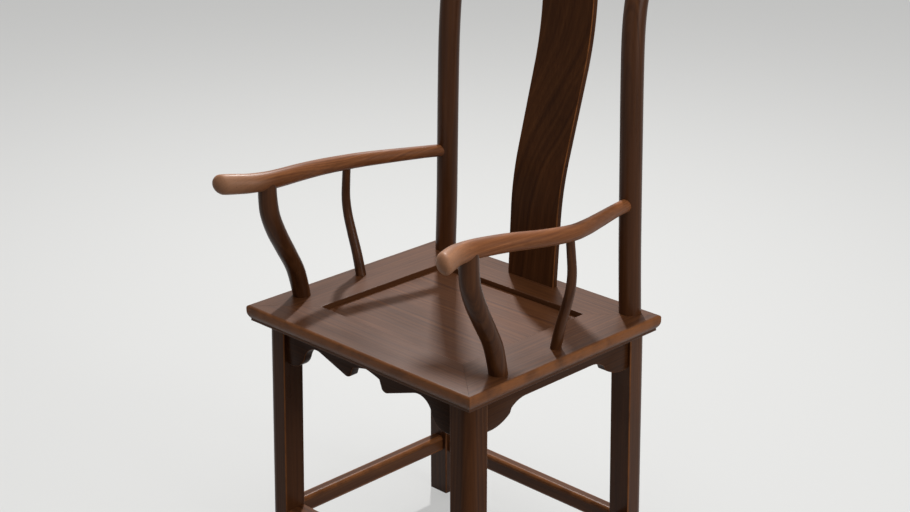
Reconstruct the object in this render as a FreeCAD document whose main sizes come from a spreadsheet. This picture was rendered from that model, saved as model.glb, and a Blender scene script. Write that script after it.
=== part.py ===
import FreeCAD, Part
import math
import os
import Sketcher

# A yoke-back armchair of the official's hat form, in hardwood, held by mortise and tenon alone.
# Millimetres. +Z is up, the sitter faces -Y, and the sitter's left is +X.
# The origin is on the floor, under the centre of the chair's outer box.

os.makedirs("parts", exist_ok=True)
doc = FreeCAD.newDocument("hat_chair")

sizes = {
    # overall
    "seat_width": 560,
    "seat_depth": 488,
    "seat_height": 524,
    "seat_advance": 8.8,
    # seat frame, mitred, with a moulded outer edge
    "frame_thickness": 30,
    "front_rail_width": 90,
    "back_rail_width": 94,
    "side_rail_width": 102,
    "edge_round": 5,
    "edge_sweep": 14,
    "edge_undercut": 6,
    "edge_lip": 5,
    "panel_recess": 10,
    "panel_thickness": 9,
    "panel_tongue": 8,
    "panel_tongue_thickness": 5,
    "panel_tongue_drop": 1,
    "corner_tenon_inset": 82,
    "corner_tenon_width": 18,
    "corner_tenon_length": 34,
    "corner_tenon_thickness": 7,
    "corner_tenon_drop": 8,
    "batten_spacing": 190,
    "batten_width": 26,
    "batten_drop": 13,
    "batten_neck": 15,
    "batten_flare": 20,
    "batten_key": 4,
    "batten_tenon": 9,
    "batten_tenon_height": 7,
    # legs and back posts
    "leg_side": 45,
    "leg_splay": 6,
    "leg_round": 19,
    "leg_arris": 2,
    "leg_inset_side": 48.5,
    "front_leg_inset": 48.5,
    "back_leg_inset": 29,
    "leg_tenon": 18,
    "leg_tenon_height": 11,
    "post_diameter": 40,
    "post_rise": 620,
    "post_lean": 17.5,
    "post_sweep": 26,
    "post_tenon": 14,
    "post_tenon_height": 9,
    # crest rail
    "crest_half_length": 283,
    "crest_bow": 63.8,
    "crest_lift": 26,
    "crest_height": 45,
    "crest_cap": 11,
    # splat
    "splat_thickness": 12,
    "splat_foot_width": 113,
    "splat_head_width": 124,
    "splat_foot_inset": 39,
    "splat_sweep": 90,
    "splat_tenon": 10,
    # arms
    "arm_height": 203,
    "arm_reach": 504,
    "arm_bow": 48,
    "arm_rise": 44,
    "arm_thickness": 34,
    "arm_cap": 14,
    "arm_tenon": 13,
    "arm_tenon_length": 13,
    # goosenecks, the curved front supports of the arms
    "gooseneck_setback": 103,
    "gooseneck_inset": 34,
    "gooseneck_thickness": 35,
    "gooseneck_tenon": 14,
    # side posts, the thin middle supports of the arms
    "side_post_setback": 247,
    "side_post_inset": 36.5,
    "side_post_thickness": 20,
    "side_post_tenon": 7,
    "seat_tenon_depth": 14,
    # aprons
    "apron_thickness": 18,
    "apron_setback": 6,
    "apron_depth": 31,
    "apron_head_depth": 67,
    "apron_head_width": 100,
    "kunmen_neck_depth": 24,
    "kunmen_lobe_depth": 47,
    "kunmen_peak_depth": 18,
    "kunmen_head_depth": 70,
    "apron_tongue": 8,
    "apron_tongue_thickness": 8,
    "apron_tongue_height": 56,
    # stretchers
    "stretcher_width": 26,
    "stretcher_height": 34,
    "stretcher_round": 8,
    "side_stretcher_level": 110,
    "back_stretcher_level": 105,
    "stretcher_tenon_length": 15,
    "stretcher_tenon_thickness": 10,
    "stretcher_tenon_height": 22,
    "footrest_depth": 42,
    "footrest_height": 25,
    "footrest_top": 122,
    "footrest_round": 9,
    "footrest_tenon_height": 14,
    "footrest_apron_height": 24,
    "footrest_apron_thickness": 12,
    "footrest_apron_rise": 8,
    "footrest_apron_foot": 42,
    # the clearance in every joint, and the overrun of every cut
    "joint_gap": 0.15,
    "overrun": 4,
}

sheet = doc.addObject("Spreadsheet::Sheet", "sizes")
for row, (name, value) in enumerate(sizes.items(), start=1):
    sheet.set("A%d" % row, name)
    sheet.set("B%d" % row, str(value))
    sheet.setAlias("B%d" % row, name)
doc.recompute()


class Size:
    # A length with its present value and the sheet expression that it follows.
    def __init__(self, value, text):
        self.value = value
        self.text = text

    def join(self, sign, other, swapped=False):
        first, second = (size_of(other), self) if swapped else (self, size_of(other))
        results = {
            "+": lambda a, b: a + b,
            "-": lambda a, b: a - b,
            "*": lambda a, b: a * b,
            "/": lambda a, b: a / b,
        }
        value = results[sign](first.value, second.value)
        return Size(value, "(%s %s %s)" % (first.text, sign, second.text))

    def __add__(self, other):
        return self.join("+", other)

    def __radd__(self, other):
        return self.join("+", other, True)

    def __sub__(self, other):
        return self.join("-", other)

    def __rsub__(self, other):
        return self.join("-", other, True)

    def __mul__(self, other):
        return self.join("*", other)

    def __rmul__(self, other):
        return self.join("*", other, True)

    def __truediv__(self, other):
        return self.join("/", other)

    def __neg__(self):
        return self.join("-", 0, True)


def size_of(thing):
    return thing if isinstance(thing, Size) else Size(float(thing), repr(float(thing)))


def cell(name):
    return Size(float(sheet.get(name)), "sizes." + name)


def bind(feature, target, size):
    feature.setExpression(target, size_of(size).text)


def place(feature, x, y, z, rotation=None):
    feature.Placement = FreeCAD.Placement(
        FreeCAD.Vector(size_of(x).value, size_of(y).value, size_of(z).value),
        rotation or FreeCAD.Rotation(),
    )
    bind(feature, "Placement.Base.x", x)
    bind(feature, "Placement.Base.y", y)
    bind(feature, "Placement.Base.z", z)


def span(first, second):
    # two sizes in rising order
    return sorted([first, second], key=lambda size: size.value)


gap = cell("joint_gap")
overrun = cell("overrun")


def block(name, low, high):
    box = doc.addObject("Part::Box", name)
    for side, a, b in zip(("Length", "Width", "Height"), low, high):
        bind(box, side, size_of(b) - a)
    place(box, *low)
    return box


def socket(name, low, high):
    # the mortise for a block, larger by the joint gap all round
    return block(name, [size_of(a) - gap for a in low], [size_of(b) + gap for b in high])


def stub(name, x, y, low, high, width, grow=0):
    # an upright square tenon, or with some growth its mortise
    half = size_of(width) / 2 + grow
    return block(name, (x - half, y - half, low), (x + half, y + half, high))


def peg(name, x, y, low, high, diameter):
    rod = doc.addObject("Part::Cylinder", name)
    bind(rod, "Radius", size_of(diameter) / 2)
    bind(rod, "Height", size_of(high) - low)
    place(rod, x, y, low)
    return rod


across = {
    "x": FreeCAD.Rotation(FreeCAD.Vector(0, 1, 0), -90),
    "y": FreeCAD.Rotation(FreeCAD.Vector(1, 0, 0), 90),
    "z": FreeCAD.Rotation(FreeCAD.Vector(0, 0, 1), 90),
}


ring_sides = 24


def limb(name, square_to, stations, grow=0):
    # A curved member planed nearly round: rings square to one axis, each centred on its own point
    # and joined by straight rulings. A station is a centre, a width, and for an oval its flatness.
    rings = []
    for number, (centre, width, flatness) in enumerate(stations):
        label = "%s_ring_%d" % (name, number)
        ring = doc.addObject("Part::RegularPolygon", label)
        ring.Polygon = ring_sides
        bind(ring, "Circumradius", size_of(width) / 2 + grow)
        if flatness is not None:
            round_ring = ring
            ring = doc.addObject("Part::Scale", label + "_oval")
            ring.Base = round_ring
            ring.Uniform = False
            bind(ring, "YScale", (size_of(width) * flatness / 2 + grow) / (size_of(width) / 2 + grow))
        place(ring, *centre, rotation=across[square_to])
        rings.append(ring)
    skin = doc.addObject("Part::Loft", name)
    skin.Sections = rings
    skin.Solid = True
    skin.Ruled = True
    return skin


dome_turns = (28, 52, 72)


def domed(station, axis, reach):
    # the rounded end of a limb: smaller and smaller rings along a quarter of an ellipse
    centre, width, flatness = station
    extra = []
    for turn in dome_turns:
        moved = list(centre)
        moved[axis] = moved[axis] + reach * math.sin(math.radians(turn))
        extra.append((tuple(moved), width * math.cos(math.radians(turn)), flatness))
    return extra


def fuse(name, members):
    if len(members) == 1:
        return members[0]
    joined = doc.addObject("Part::MultiFuse", name)
    joined.Shapes = members
    return joined


def cut(name, base, tools):
    if not tools:
        return base
    carved = doc.addObject("Part::Cut", name)
    carved.Base = base
    carved.Tool = fuse(name + "_tools", tools)
    return carved


def common(name, first, second):
    whole = doc.addObject("Part::Common", name)
    whole.Base = first
    whole.Tool = second
    return whole


corner_share = 1 - 0.5 ** 0.5


def arc_to(middle, end):
    return ("arc", middle, end)


def line_to(end):
    return ("line", None, end)


def reversed_steps(start, steps):
    # the same stretch of outline walked the other way
    points = [start] + [step[2] for step in steps]
    back = []
    for number in range(len(steps) - 1, -1, -1):
        kind, through, end = steps[number]
        back.append((kind, through, points[number]))
    return points[-1], back


def between(start, end, share):
    return start + (end - start) * share


def rounded(left, right, low, high, radii):
    # a rectangle whose corners, from bottom left and anticlockwise, have their own radii
    a, b, c, d = [size_of(radius) for radius in radii]
    steps = [
        line_to((right - b, low)),
        arc_to((right - b * corner_share, low + b * corner_share), (right, low + b)),
        line_to((right, high - c)),
        arc_to((right - c * corner_share, high - c * corner_share), (right - c, high)),
        line_to((left + d, high)),
        arc_to((left + d * corner_share, high - d * corner_share), (left, high - d)),
        line_to((left, low + a)),
        arc_to((left + a * corner_share, low + a * corner_share), (left + a, low)),
    ]
    return (left + a, low), steps


def mirrored(start, steps):
    # the same outline with its first coordinate turned over
    def turned(point):
        return (-size_of(point[0]), point[1])

    flipped = []
    for kind, through, end in steps:
        if kind == "arc":
            through = turned(through)
        flipped.append((kind, through, turned(end)))
    return turned(start), flipped


def draw(sketch, start, steps):
    def vector(point):
        return FreeCAD.Vector(size_of(point[0]).value, size_of(point[1]).value, 0)

    here = start
    first = None
    last = None
    for kind, through, end in steps:
        if kind == "arc":
            shape = Part.Arc(vector(here), vector(through), vector(end))
        else:
            shape = Part.LineSegment(vector(here), vector(end))
        new = sketch.addGeometry(shape, False)
        turned = False
        if kind == "arc":
            placed = sketch.getPoint(new, 1)
            turned = placed.distanceToPoint(vector(here)) > placed.distanceToPoint(vector(end))
        ends = (2, 1) if turned else (1, 2)
        if last is None:
            first = (new, ends[0])
        else:
            sketch.addConstraint(Sketcher.Constraint("Coincident", last[0], last[1], new, ends[0]))
        pin_down(sketch, (new, ends[0]), here)
        last = (new, ends[1])
        here = end
    sketch.addConstraint(Sketcher.Constraint("Coincident", last[0], last[1], first[0], first[1]))


def pin_down(sketch, vertex, point):
    for direction, place_along in (("DistanceX", point[0]), ("DistanceY", point[1])):
        along = size_of(place_along)
        if along.value < 0:
            rule = Sketcher.Constraint(direction, vertex[0], vertex[1], -1, 1, -along.value)
            text = (-along).text
        else:
            rule = Sketcher.Constraint(direction, -1, 1, vertex[0], vertex[1], along.value)
            text = along.text
        number = sketch.addConstraint(rule)
        sketch.setExpression("Constraints[%d]" % number, text)


planes = {"xy": "XY_Plane", "xz": "XZ_Plane", "yz": "YZ_Plane"}


def board(name, plane, outline, low, high, lean=None):
    # a piece sawn to an outline: its sketch, padded from one level to another, straight or leaning
    body = doc.addObject("PartDesign::Body", name + "_body")
    sketch = body.newObject("Sketcher::SketchObject", name + "_outline")
    origin_planes = body.Origin.OriginFeatures
    support = [item for item in origin_planes if item.Role == planes[plane]][0]
    sketch.AttachmentSupport = [(support, "")]
    sketch.MapMode = "FlatFace"
    level = -size_of(high) if plane == "xz" else size_of(low)
    bind(sketch, "AttachmentOffset.Base.z", level)
    draw(sketch, *outline)
    pad = body.newObject("PartDesign::Pad", name + "_pad")
    pad.Profile = sketch
    pad.Length = size_of(high).value - size_of(low).value
    bind(pad, "Length", size_of(high) - low)
    if lean:
        pad.UseCustomVector = True
        pad.Direction = FreeCAD.Vector(*[part.value for part in lean])
        for axis, part in zip("xyz", lean):
            bind(pad, "Direction." + axis, part)
    sketch.Visibility = False
    return body


pieces = {}


def finish(label, piece):
    piece.Label = label
    pieces[label] = piece
    return piece


# Levels and lines that several pieces share.
seat_top = cell("seat_height")
frame_under = seat_top - cell("frame_thickness")
half_width = cell("seat_width") / 2
front_edge = -cell("seat_depth") / 2 - cell("seat_advance")
back_edge = cell("seat_depth") / 2 - cell("seat_advance")
inner_side = half_width - cell("side_rail_width")
inner_front = front_edge + cell("front_rail_width")
inner_back = back_edge - cell("back_rail_width")
half_leg = cell("leg_side") / 2
leg_x = half_width - cell("leg_inset_side")
front_leg_y = front_edge + cell("front_leg_inset")
back_leg_y = back_edge - cell("back_leg_inset")
panel_top = seat_top - cell("panel_recess")
panel_under = panel_top - cell("panel_thickness")
tongue_top = panel_top - cell("panel_tongue_drop")
tongue_under = tongue_top - cell("panel_tongue_thickness")
sides = {"right": -1, "left": 1}


# Back posts above the seat: they lean inwards, then sweep back under the crest rail.
post_level_shares = (0, 0.16, 0.52, 0.68, 0.80, 0.88, 0.94, 1)
post_lean_shares = (0, 0.23, 0.53, 0.68, 0.83, 0.90, 0.95, 1)
post_sweep_shares = (0, -0.02, -0.07, -0.06, 0.03, 0.22, 0.55, 1)
arm_joint_lean_share = 0.38
arm_joint_sweep_share = -0.05
arm_joint_station = 2
post_head_share = 0.86


def post_centre(side, level, lean_share, sweep_share):
    x = leg_x - cell("post_lean") * lean_share
    return (side * x, back_leg_y + cell("post_sweep") * sweep_share, level)


def post_head(side):
    return post_centre(side, seat_top + cell("post_rise"), 1, 1)


def post_stations(side):
    shares = list(zip(post_level_shares, post_lean_shares, post_sweep_shares))
    stations = []
    for level_share, lean_share, sweep_share in shares:
        width = cell("post_diameter")
        if level_share == 1:
            width = width * post_head_share
        level = seat_top + cell("post_rise") * level_share
        stations.append((post_centre(side, level, lean_share, sweep_share), width, None))
    stations.insert(arm_joint_station, (arm_joint(side), cell("post_diameter"), None))
    return stations


def arm_joint(side):
    return post_centre(side, seat_top + cell("arm_height"), arm_joint_lean_share, arm_joint_sweep_share)


# Crest rail: a raised and bowed middle, level necks over the posts, and ends that turn up.
crest_along_shares = (0, 0.16, 0.29, 0.43, 0.58, 0.757, 0.85, 0.94, 1)
crest_bow_shares = (1, 0.97, 0.88, 0.70, 0.39, 0, -0.10, -0.13, -0.11)
crest_lift_shares = (1, 0.99, 0.88, 0.52, 0.18, 0, 0.04, 0.22, 0.42)
crest_height_shares = (1, 0.98, 0.93, 0.87, 0.85, 0.89, 0.87, 0.84, 0.78)
crest_flat_shares = (0.73, 0.75, 0.79, 0.87, 0.92, 0.95, 0.94, 0.95, 0.97)


def crest_stations():
    foot = post_head(1)
    half = []
    shares = zip(
        crest_along_shares,
        crest_bow_shares,
        crest_lift_shares,
        crest_height_shares,
        crest_flat_shares,
    )
    for along, bow, lift, height, flatness in shares:
        x = cell("crest_half_length") * along
        y = foot[1] + cell("crest_bow") * bow
        z = foot[2] + cell("crest_lift") * lift
        half.append((x, y, z, cell("crest_height") * height, flatness))
    stations = [((-x, y, z), tall, flatness) for x, y, z, tall, flatness in reversed(half)]
    stations += [((x, y, z), tall, flatness) for x, y, z, tall, flatness in half[1:]]
    return stations


# Arms: bowed outwards over the side posts, drawn in over the goosenecks, flared at the grips.
arm_along_shares = (0, 0.104, 0.239, 0.342, 0.425, 0.55, 0.675, 0.778, 0.844, 0.913, 0.966, 1)
arm_bow_shares = (0, 0.24, 0.63, 0.90, 1, 0.91, 0.67, 0.50, 0.46, 0.56, 0.80, 0.97)
arm_rise_shares = (0, 0.08, 0.16, 0.22, 0.28, 0.43, 0.59, 0.68, 0.73, 0.78, 0.83, 0.86)
arm_width_shares = (0.68, 0.70, 0.76, 0.81, 0.84, 0.88, 0.93, 0.96, 0.98, 1.03, 1.08, 1.08)
arm_side_post_station = 4
arm_gooseneck_station = 8


def arm_station(side, number):
    start = arm_joint(side)
    x = start[0] + side * cell("arm_bow") * arm_bow_shares[number]
    y = start[1] - cell("arm_reach") * arm_along_shares[number]
    z = start[2] + cell("arm_rise") * arm_rise_shares[number]
    return ((x, y, z), cell("arm_thickness") * arm_width_shares[number], None)


def arm_stations(side):
    return [arm_station(side, number) for number in range(len(arm_along_shares))]


# Goosenecks: they stand on the side rails and sweep forwards to the arms.
gooseneck_level_shares = (0, 0.22, 0.40, 0.56, 0.72, 0.86, 1)
gooseneck_sweep_shares = (0, 0.18, 0.47, 0.74, 0.94, 1, 1)
gooseneck_width_shares = (0.94, 0.98, 1.04, 1.06, 1.02, 0.97, 0.92)


def gooseneck_foot(side):
    return (
        side * (half_width - cell("gooseneck_inset")),
        front_edge + cell("gooseneck_setback"),
        seat_top,
    )


def gooseneck_stations(side):
    foot = gooseneck_foot(side)
    head = arm_station(side, arm_gooseneck_station)[0]
    stations = []
    shares = zip(gooseneck_level_shares, gooseneck_sweep_shares, gooseneck_width_shares)
    for level, sweep, width in shares:
        centre = (
            between(foot[0], head[0], level),
            between(foot[1], head[1], sweep),
            between(foot[2], head[2], level),
        )
        stations.append((centre, cell("gooseneck_thickness") * width, None))
    return stations


# Side posts: thin, tapered, and bowed outwards to meet the widest part of the arms.
side_post_level_shares = (0, 0.19, 0.37, 0.53, 0.68, 0.84, 1)
side_post_bow_shares = (0, 0.34, 0.75, 1.08, 1.20, 1.12, 1)
side_post_width_shares = (1, 0.96, 0.92, 0.87, 0.82, 0.78, 0.75)


def side_post_foot(side):
    return (
        side * (half_width - cell("side_post_inset")),
        front_edge + cell("side_post_setback"),
        seat_top,
    )


def side_post_stations(side):
    foot = side_post_foot(side)
    head = arm_station(side, arm_side_post_station)[0]
    stations = []
    shares = zip(side_post_level_shares, side_post_bow_shares, side_post_width_shares)
    for level, bow, width in shares:
        centre = (
            between(foot[0], head[0], bow),
            between(foot[1], head[1], level),
            between(foot[2], head[2], level),
        )
        stations.append((centre, cell("side_post_thickness") * width, None))
    return stations


# Splat: one board sawn to a long S in side view and slightly wider at its head.
splat_lower_bend = (0.106, 0.29)
splat_upper_bend = (0.994, 0.735)
splat_lower_reach_shares = (0.32, 0.20)
splat_upper_reach_shares = (0.27, 0.48)


def bend(before, corner, after, reach_shares):
    # a corner eased by an arc that starts and ends at shares of the two lines that meet there
    start = [between(a, b, reach_shares[0]) for a, b in zip(corner, before)]
    end = [between(a, b, reach_shares[1]) for a, b in zip(corner, after)]
    middle = [between(a, between(b, c, 0.5), 0.5) for a, b, c in zip(corner, start, end)]
    return [line_to(tuple(start)), arc_to(tuple(middle), tuple(end))]


def splat_face(front, top):
    # one face of the board from the seat up: straight, bent back, bent upright again
    rise = top - seat_top
    points = [(front, seat_top)]
    for sweep, level in (splat_lower_bend, splat_upper_bend, (1, 1)):
        points.append((front + cell("splat_sweep") * sweep, seat_top + rise * level))
    steps = bend(*points[:3], splat_lower_reach_shares)
    steps += bend(*points[1:], splat_upper_reach_shares)
    return points[0], steps + [line_to(points[3])]


def splat_outline(foot_level, top, grow):
    front = back_edge - cell("splat_foot_inset") - grow
    back = front + cell("splat_thickness") + grow * 2
    rear_foot, rear = splat_face(back, top)
    front_head, face = reversed_steps(*splat_face(front, top))
    steps = [line_to((back, foot_level)), line_to(rear_foot)] + rear
    return (front, foot_level), steps + [line_to(front_head)] + face + [line_to((front, foot_level))]


def crest_middle():
    foot = post_head(1)
    return (0, foot[1] + cell("crest_bow"), foot[2] + cell("crest_lift"))


def splat_solid(name, grow):
    foot_level = seat_top - cell("splat_tenon") - grow
    top = crest_middle()[2] - cell("crest_height") / 2 + cell("splat_tenon") + grow
    reach = cell("splat_head_width")
    profile = board(name + "_side", "yz", splat_outline(foot_level, top, grow), -reach, reach)
    foot = cell("splat_foot_width") / 2 + grow
    head = cell("splat_head_width") / 2 + grow
    front = [
        line_to((foot, foot_level)),
        line_to((head, top + overrun)),
        line_to((-head, top + overrun)),
        line_to((-foot, foot_level)),
    ]
    face = board(
        name + "_front",
        "xz",
        ((-foot, foot_level), front),
        back_edge - cell("back_rail_width"),
        back_edge + cell("splat_sweep") + cell("back_rail_width"),
    )
    return common(name, profile, face)


def leg_line_y(front):
    return front_leg_y if front < 0 else back_leg_y


def leg_axis(side, front, level):
    # the middle of a leg at a level: all four legs splay outwards to the floor
    out = cell("leg_splay") * (1 - size_of(level) / frame_under)
    return side * (leg_x + out), leg_line_y(front) + front * out


def leg_solid(name, side, front):
    # square inside the chair, rounded on its outermost corner, and leaning in towards the frame
    x, y = leg_axis(side, front, 0)
    outer = {(-1, -1): 0, (1, -1): 1, (1, 1): 2, (-1, 1): 3}[(side, front)]
    corners = [cell("leg_arris")] * 4
    corners[outer] = cell("leg_round")
    outline = rounded(x - half_leg, x + half_leg, y - half_leg, y + half_leg, corners)
    splay = cell("leg_splay")
    return board(name, "xy", outline, 0, frame_under, (-side * splay, -front * splay, frame_under))


def apron_line_y(front):
    # the middle of the front or back apron's thickness
    return leg_line_y(front) + front * (half_leg - cell("apron_setback") - cell("apron_thickness") / 2)


def apron_line_x(side):
    return side * (leg_x + half_leg - cell("apron_setback") - cell("apron_thickness") / 2)


def tongue_along_x(side, front):
    # the tongue of the front or back apron, in a groove down the leg's inner face
    face = side * (leg_x - half_leg)
    low, high = span(face, face + side * cell("apron_tongue"))
    middle = apron_line_y(front)
    half = cell("apron_tongue_thickness") / 2
    foot = frame_under - cell("apron_tongue_height")
    return (low, middle - half, foot), (high, middle + half, frame_under)


def tongue_along_y(side, front):
    face = leg_line_y(front) - front * half_leg
    low, high = span(face, face + front * cell("apron_tongue"))
    middle = apron_line_x(side)
    half = cell("apron_tongue_thickness") / 2
    foot = frame_under - cell("apron_tongue_height")
    return (middle - half, low, foot), (middle + half, high, frame_under)


def side_tenon(side, front):
    # the tenon of a side stretcher, seated along Y in the leg's inner face
    level = cell("side_stretcher_level")
    x, y = leg_axis(side, front, level)
    face = y - front * half_leg
    low, high = span(face - front * overrun, face + front * cell("stretcher_tenon_length"))
    half = cell("stretcher_tenon_thickness") / 2
    tall = cell("stretcher_tenon_height") / 2
    return (x - half, low, level - tall), (x + half, high, level + tall)


def cross_level(front):
    if front < 0:
        return cell("footrest_top") - cell("footrest_height") / 2
    return cell("back_stretcher_level")


def cross_tenon(side, front):
    # the tenon of the footrest or the back stretcher, seated along X in the leg's inner face
    level = cross_level(front)
    x, y = leg_axis(side, front, level)
    face = x - side * half_leg
    low, high = span(face - side * overrun, face + side * cell("stretcher_tenon_length"))
    half = cell("stretcher_tenon_thickness") / 2
    tall = (cell("footrest_tenon_height") if front < 0 else cell("stretcher_tenon_height")) / 2
    return (low, y - half, level - tall), (high, y + half, level + tall)


def leg_sockets(name, side, front):
    # two grooves for the aprons, and two mortises for the stretchers
    return [
        socket(name + "_groove_x", *tongue_along_x(side, front)),
        socket(name + "_groove_y", *tongue_along_y(side, front)),
        socket(name + "_side_mortise", *side_tenon(side, front)),
        socket(name + "_cross_mortise", *cross_tenon(side, front)),
    ]


def shouldered(name, bar, legs):
    # a bar whose ends are cut to the slope of the legs that it runs between
    tools = [leg_solid("%s_leg_%d" % (name, number), *leg) for number, leg in enumerate(legs)]
    return cut(name, bar, tools)


# The pieces, from the crest rail down.
def make_crest_rail():
    stations = crest_stations()
    start = domed(stations[0], 0, -cell("crest_cap"))
    end = domed(stations[-1], 0, cell("crest_cap"))
    whole = limb("crest_limb", "x", start[::-1] + stations + end)
    tools = [splat_solid("crest_slot", gap)]
    for label, side in sides.items():
        head = post_head(side)
        low = head[2] - cell("crest_height")
        high = head[2] + cell("post_tenon_height") + gap
        tools.append(stub("crest_mortise_" + label, head[0], head[1], low, high, cell("post_tenon"), gap))
    return finish("crest_rail", cut("crest_cut", whole, tools))


def make_back_post(label, side):
    name = "back_post_" + label
    leg = leg_solid(name + "_leg", side, 1)
    neck = peg(name + "_neck", side * leg_x, back_leg_y, frame_under, seat_top, cell("post_diameter"))
    upper = limb(name + "_upper", "z", post_stations(side))
    crest = limb(name + "_crest", "x", crest_stations(), gap)
    coped = cut(name + "_coped", upper, [crest])
    head = post_head(side)
    low = head[2] - cell("crest_height") / 2 - overrun
    high = head[2] + cell("post_tenon_height")
    tenon = stub(name + "_tenon", head[0], head[1], low, high, cell("post_tenon"))
    tools = [arm_tenon(name + "_arm_mortise", side, gap)] + leg_sockets(name, side, 1)
    whole = fuse(name + "_whole", [leg, neck, coped, tenon])
    return finish(name, cut(name + "_cut", whole, tools))


def arm_tenon(name, side, grow):
    # a square tenon on the back end of the arm, along Y, into the front of the post
    x, y, z = arm_joint(side)
    half = cell("arm_tenon") / 2 + grow
    front = y - cell("post_diameter") / 2
    length = cell("arm_tenon_length")
    return block(name, (x - half, front - length, z - half), (x + half, front + length + grow, z + half))


def make_arm(label, side):
    name = "armrest_" + label
    stations = arm_stations(side)
    whole = limb(name + "_limb", "y", stations + domed(stations[-1], 1, -cell("arm_cap")))
    post = limb(name + "_post", "z", post_stations(side), gap)
    coped = cut(name + "_coped", whole, [post])
    tools = []
    supports = (
        ("gooseneck", arm_gooseneck_station, "gooseneck_tenon"),
        ("side_post", arm_side_post_station, "side_post_tenon"),
    )
    for support, number, tenon in supports:
        head = arm_station(side, number)[0]
        low = head[2] - cell("arm_thickness")
        mortise = "%s_%s_mortise" % (name, support)
        tools.append(stub(mortise, head[0], head[1], low, head[2] + gap, cell(tenon), gap))
    # the tenon is fused after the cope, so that it passes into the post
    whole = fuse(name + "_whole", [coped, arm_tenon(name + "_tenon", side, 0)])
    return finish(name, cut(name + "_cut", whole, tools))


def make_support(name, stations, side, tenon):
    # a gooseneck or a side post: coped under the arm, with a square tenon at each end
    shaft = limb(name + "_limb", "z", stations)
    arm = limb(name + "_arm", "y", arm_stations(side), gap)
    coped = cut(name + "_coped", shaft, [arm])
    foot = stations[0][0]
    head = stations[-1][0]
    low = head[2] - cell("arm_thickness") / 2 - overrun
    upper = stub(name + "_upper_tenon", head[0], head[1], low, head[2], cell(tenon))
    bottom = seat_top - cell("seat_tenon_depth")
    lower = stub(name + "_lower_tenon", foot[0], foot[1], bottom, seat_top + overrun, cell(tenon))
    return finish(name, fuse(name + "_whole", [coped, upper, lower]))


def make_splat():
    return finish("back_splat", splat_solid("splat_board", 0))


def corner_tenon(side, front):
    # the tenon of a side rail, seated in the front or back rail beyond the mitre
    centre = side * (half_width - cell("corner_tenon_inset"))
    half = cell("corner_tenon_width") / 2
    edge = front_edge if front < 0 else back_edge
    rail = cell("front_rail_width") if front < 0 else cell("back_rail_width")
    inner = edge - front * rail * cell("corner_tenon_inset") / cell("side_rail_width")
    start = inner - front * half
    tip = start + front * (cell("corner_tenon_length") + half)
    near, far = span(start, tip)
    top = seat_top - cell("corner_tenon_drop")
    low = top - cell("corner_tenon_thickness")
    return (centre - half, near, low), (centre + half, far, top)


edge_sweep_in_share = 0.26
edge_sweep_up_share = 0.456


def edge_profile(edge, outward, inner):
    # Section of a seat rail: a rounded top arris, a plain face, a full sweep inwards and a small lip.
    top = seat_top
    arris = cell("edge_round")
    undercut = cell("edge_undercut")
    lip = edge - outward * undercut
    lip_top = frame_under + cell("edge_lip")
    sweep_top = lip_top + cell("edge_sweep")
    belly = edge - outward * undercut * edge_sweep_in_share
    steps = [
        line_to((lip, frame_under)),
        line_to((lip, lip_top)),
        arc_to((belly, between(lip_top, sweep_top, edge_sweep_up_share)), (edge, sweep_top)),
        line_to((edge, top - arris)),
        arc_to(
            (edge - outward * arris * corner_share, top - arris * corner_share),
            (edge - outward * arris, top),
        ),
        line_to((inner, top)),
        line_to((inner, frame_under)),
    ]
    return (inner, frame_under), steps


def panel_tool(name, grow):
    # the panel with its tongues, as one block for the grooves
    reach = cell("panel_tongue")
    low = (-inner_side - reach - grow, inner_front - reach - grow, tongue_under - grow)
    high = (inner_side + reach + grow, inner_back + reach + grow, tongue_top + grow)
    return block(name, low, high)


def side_trapezoid(side):
    # what a side rail keeps between its two mitres, seen from above
    outer = side * half_width
    inner = side * inner_side
    steps = [line_to((outer, back_edge)), line_to((inner, inner_back)), line_to((inner, inner_front))]
    steps.append(line_to((outer, front_edge)))
    return (outer, front_edge), steps


def cross_trapezoid(front):
    edge = front_edge if front < 0 else back_edge
    inner = inner_front if front < 0 else inner_back
    steps = [line_to((half_width, edge)), line_to((inner_side, inner)), line_to((-inner_side, inner))]
    steps.append(line_to((-half_width, edge)))
    return (-half_width, edge), steps


def leg_holes(name, side, front):
    # the hole for a back post, or the blind mortise over a front leg
    if front > 0:
        wide = cell("post_diameter") + gap * 2
        low = frame_under - overrun
        return peg(name, side * leg_x, back_leg_y, low, seat_top + overrun, wide)
    low, high = leg_tenon(side)
    return socket(name, (low[0], low[1], frame_under - overrun), high)


def leg_tenon(side):
    half = cell("leg_tenon") / 2
    top = frame_under + cell("leg_tenon_height")
    low = (side * leg_x - half, front_leg_y - half, frame_under - overrun)
    return low, (side * leg_x + half, front_leg_y + half, top)


def batten_tenons(x):
    half = cell("batten_neck") / 2
    low = panel_under - cell("batten_tenon_height")
    return (
        (x - half, inner_front - cell("batten_tenon"), low),
        (x + half, inner_back + cell("batten_tenon"), panel_under),
    )


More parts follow.
